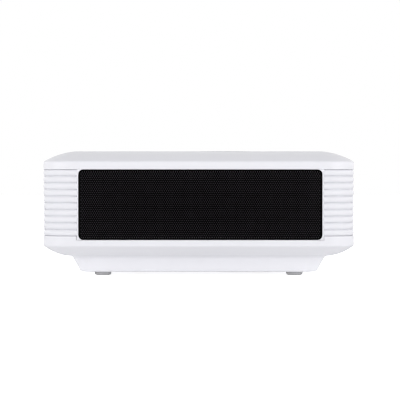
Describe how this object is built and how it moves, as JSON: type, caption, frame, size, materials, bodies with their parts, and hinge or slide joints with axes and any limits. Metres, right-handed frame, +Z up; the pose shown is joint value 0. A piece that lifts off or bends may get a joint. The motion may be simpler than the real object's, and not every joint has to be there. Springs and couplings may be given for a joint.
{
  "type": "projector with disc player",
  "caption": "White box projector with pillow edges, ribbed corners and black perforated sides; front lens, motorised disc tray, sockets behind, keys on top.",
  "frame": {"origin": "on the table, under the middle of the case", "axes": "+Z up, lens and disc tray face -Y, sockets face +Y, loudspeaker grilles face +X and -X"},
  "size_m": [0.3, 0.255, 0.103],
  "materials": {
    "white_plastic": "white ABS, satin to gloss",
    "black_grille": "black powder-coated perforated steel",
    "black_gloss": "piano-black ABS",
    "black_plastic": "black moulded plastic",
    "grey_plastic": "light grey plastic",
    "rubber": "grey rubber",
    "black_rubber": "black rubber",
    "steel": "zinc-plated steel",
    "chrome": "plated ring",
    "brass": "machined brass",
    "aluminium": "extruded aluminium",
    "glass": "coated optical glass",
    "dark_window": "infrared-pass acrylic",
    "board_green": "glass-fibre circuit board",
    "paper": "coated paper cone",
    "socket_metal": "nickel-plated sheet",
    "acetal": "acetal"
  },
  "bodies": {
    "case": {"top_cover": "white_plastic", "ribbed_frame": "white_plastic", "bottom_shell": "white_plastic", "speaker_grille_right": "black_grille", "speaker_grille_left": "black_grille", "front_fascia": "black_gloss", "rear_panel": "black_plastic", "rubber_feet": "rubber", "fixings": "steel", "mount_inserts": "brass", "lens_trim_ring": "chrome", "ir_window": "dark_window", "front_board": "board_green", "speaker_baskets": "steel", "speaker_cones": "paper", "digital_sockets": "socket_metal", "audio_jacks": "black_plastic", "ac_inlet": "black_plastic", "switch_body": "black_plastic", "optical_housing": "black_plastic", "lens_mount": "black_plastic", "light_lenses": "glass", "lcd_panel": "steel", "lamp_plate": "aluminium", "heat_sink": "aluminium", "fan_frame": "black_plastic", "circuit_boards": "board_green", "board_parts": "black_plastic", "key_board": "board_green", "loader_chassis": "black_plastic", "clamp_bridge": "steel", "drive_belt": "black_rubber", "loading_motor": "steel"},
    "tray": {"disc_tray": "black_plastic", "tray_bezel": "black_gloss"},
    "tray_drive_gear": {"drive_gear": "acetal"},
    "tray_pulley_gear": {"pulley_gear": "acetal"},
    "tray_motor_pulley": {"motor_pulley": "brass"},
    "cam": {"cam_slider": "acetal"},
    "pickup_deck": {"traverse_frame": "black_plastic", "traverse_motors": "steel", "guide_rods": "steel"},
    "spindle": {"turntable": "black_plastic"},
    "sled": {"pickup_sled": "aluminium"},
    "sled_screw": {"lead_screw": "steel"},
    "clamp": {"disc_clamp": "acetal"},
    "focus": {"focus_ring": "black_plastic"},
    "lens": {"lens_barrel": "black_plastic", "lens_elements": "glass"},
    "fan": {"fan_rotor": "black_plastic"},
    "level_pad": {"foot_pad": "black_rubber"},
    "level_screw": {"foot_screw": "black_plastic"},
    "mains_rocker": {"switch_rocker": "black_plastic"},
    "open_close_key": {"open_close_button": "black_gloss"},
    "power_key": {"power_button": "grey_plastic"},
    "ok_key": {"ok_button": "grey_plastic"},
    "right_key": {"right_button": "grey_plastic"},
    "up_key": {"up_button": "grey_plastic"},
    "left_key": {"left_button": "grey_plastic"},
    "down_key": {"down_button": "grey_plastic"}
  },
  "joints": [
    {"name": "tray_slide", "type": "slide", "parent": "case", "child": "tray", "axis": [0, -1, 0], "range_m": [0, 0.14]},
    {"name": "drive_gear_turn", "type": "hinge", "parent": "case", "child": "tray_drive_gear", "pos_m": [-0.0085, -0.088, 0.06], "axis": [0, 0, 1], "range_deg": [0, 803]},
    {"name": "pulley_gear_turn", "type": "hinge", "parent": "case", "child": "tray_pulley_gear", "pos_m": [-0.0085, -0.0648, 0.05], "axis": [0, 0, 1], "range_deg": [-2523, 0]},
    {"name": "motor_pulley_turn", "type": "hinge", "parent": "case", "child": "tray_motor_pulley", "pos_m": [-0.0095, -0.0308, 0.049], "axis": [0, 0, 1], "range_deg": [-10086, 0]},
    {"name": "cam_slide", "type": "slide", "parent": "case", "child": "cam", "axis": [1, 0, 0], "range_m": [0, 0.022]},
    {"name": "pickup_lift", "type": "hinge", "parent": "case", "child": "pickup_deck", "pos_m": [0.035, 0.05, 0.0595], "axis": [-1, 0, 0], "range_deg": [0, 4.21]},
    {"name": "disc_spin", "type": "hinge", "parent": "pickup_deck", "child": "spindle", "pos_m": [0.035, -0.05176, 0.05253], "axis": [0, -0.0732, 0.9973], "continuous": true},
    {"name": "sled_slide", "type": "slide", "parent": "pickup_deck", "child": "sled", "axis": [0, 0.9973, 0.0732], "range_m": [0, 0.033]},
    {"name": "lead_screw_turn", "type": "hinge", "parent": "pickup_deck", "child": "sled_screw", "pos_m": [0.0575, -0.00002, 0.05793], "axis": [0, 0.9973, 0.0732], "range_deg": [0, 3961]},
    {"name": "clamp_spin", "type": "hinge", "parent": "case", "child": "clamp", "pos_m": [0.035, -0.052, 0.078], "axis": [0, 0, 1], "continuous": true},
    {"name": "focus_turn", "type": "hinge", "parent": "case", "child": "focus", "pos_m": [-0.08, -0.082, 0.059], "axis": [0, -1, 0], "range_deg": [0, 120]},
    {"name": "lens_slide", "type": "slide", "parent": "case", "child": "lens", "axis": [0, -1, 0], "range_m": [0, 0.00601]},
    {"name": "fan_spin", "type": "hinge", "parent": "case", "child": "fan", "pos_m": [-0.08, 0.112, 0.059], "axis": [0, 1, 0], "continuous": true},
    {"name": "foot_raise", "type": "slide", "parent": "case", "child": "level_pad", "axis": [0, 0, -1], "range_m": [0, 0.012]},
    {"name": "foot_turn", "type": "hinge", "parent": "level_pad", "child": "level_screw", "pos_m": [0, -0.076, 0.005], "axis": [0, 0, 1], "range_deg": [0, 1729]},
    {"name": "mains_rocker_tilt", "type": "hinge", "parent": "case", "child": "mains_rocker", "pos_m": [0.106, 0.1241, 0.046], "axis": [-1, 0, 0], "range_deg": [0, 16]},
    {"name": "open_close_press", "type": "slide", "parent": "case", "child": "open_close_key", "axis": [0, 1, 0], "range_m": [0, 0.0007], "stiffness_N_per_m": 1800, "springref_m": -0.0003},
    {"name": "power_press", "type": "slide", "parent": "case", "child": "power_key", "axis": [0, 0, -1], "range_m": [0, 0.0007], "stiffness_N_per_m": 1800, "springref_m": -0.0003},
    {"name": "ok_press", "type": "slide", "parent": "case", "child": "ok_key", "axis": [0, 0, -1], "range_m": [0, 0.0007], "stiffness_N_per_m": 1800, "springref_m": -0.0003},
    {"name": "right_press", "type": "slide", "parent": "case", "child": "right_key", "axis": [0, 0, -1], "range_m": [0, 0.0007], "stiffness_N_per_m": 1800, "springref_m": -0.0003},
    {"name": "up_press", "type": "slide", "parent": "case", "child": "up_key", "axis": [0, 0, -1], "range_m": [0, 0.0007], "stiffness_N_per_m": 1800, "springref_m": -0.0003},
    {"name": "left_press", "type": "slide", "parent": "case", "child": "left_key", "axis": [0, 0, -1], "range_m": [0, 0.0007], "stiffness_N_per_m": 1800, "springref_m": -0.0003},
    {"name": "down_press", "type": "slide", "parent": "case", "child": "down_key", "axis": [0, 0, -1], "range_m": [0, 0.0007], "stiffness_N_per_m": 1800, "springref_m": -0.0003}
  ],
  "couplings": [
    {"joint": "drive_gear_turn", "follows": "tray_slide", "rad_per_m": 100},
    {"joint": "pulley_gear_turn", "follows": "tray_slide", "rad_per_m": -314.29},
    {"joint": "motor_pulley_turn", "follows": "tray_slide", "rad_per_m": -1257.1},
    {"joint": "pickup_lift", "follows": "cam_slide", "rad_per_m": 3.332},
    {"joint": "lead_screw_turn", "follows": "sled_slide", "rad_per_m": 2094.4},
    {"joint": "lens_slide", "follows": "focus_turn", "m_per_rad": 0.0028648},
    {"joint": "foot_turn", "follows": "foot_raise", "rad_per_m": 2513.3}
  ]
}
